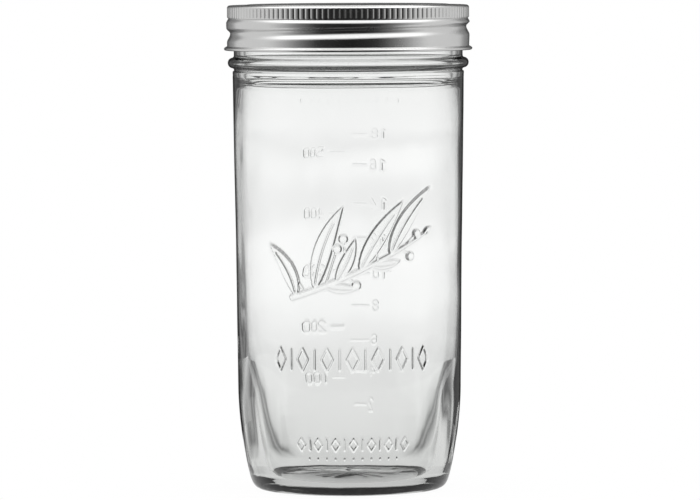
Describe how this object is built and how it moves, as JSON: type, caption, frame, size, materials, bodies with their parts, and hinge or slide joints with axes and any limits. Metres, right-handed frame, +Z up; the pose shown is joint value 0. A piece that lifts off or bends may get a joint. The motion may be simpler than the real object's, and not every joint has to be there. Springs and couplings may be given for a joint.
{
  "type": "mason jar with two-piece screw lid",
  "caption": "Straight-sided wide-mouth glass canning jar with embossed wall, closed by a flat sealing lid under a knurled metal screw band.",
  "frame": {"origin": "middle of the jar's foot ring, on the surface that it stands on", "axes": "+Z up along the jar's axis; the front with the raised emblem faces -Y; +X to the right of somebody who looks at the front"},
  "size_m": [0.0904, 0.0904, 0.1772],
  "materials": {
    "clear_glass": "clear pressed and blown soda-lime glass, fire-polished, slightly wavy inside, with raised marks in the mould",
    "band_tinplate": "bright rolled tinplate with fine knurling round the top and a rolled thread",
    "lid_tinplate": "bright lacquered tinplate, fine rolling grain, pressed rings",
    "sealing_compound": "matte grey flowed-in sealing compound"
  },
  "bodies": {
    "jar": {"glass_jar": "clear_glass"},
    "lid": {"lid_disc": "lid_tinplate", "seal_ring": "sealing_compound"},
    "band": {"screw_band": "band_tinplate"}
  },
  "joints": [
    {"name": "lid_lift", "type": "slide", "parent": "jar", "child": "lid", "axis": [0, 0, 1], "range_m": [0, 0.0407]},
    {"name": "band_turn", "type": "hinge", "parent": "lid", "child": "band", "pos_m": [0, 0, 0.17], "axis": [0, 0, 1], "range_deg": [0, 2880]}
  ],
  "couplings": [
    {"joint": "lid_lift", "follows": "band_turn", "m_per_rad": 0.00080851}
  ]
}
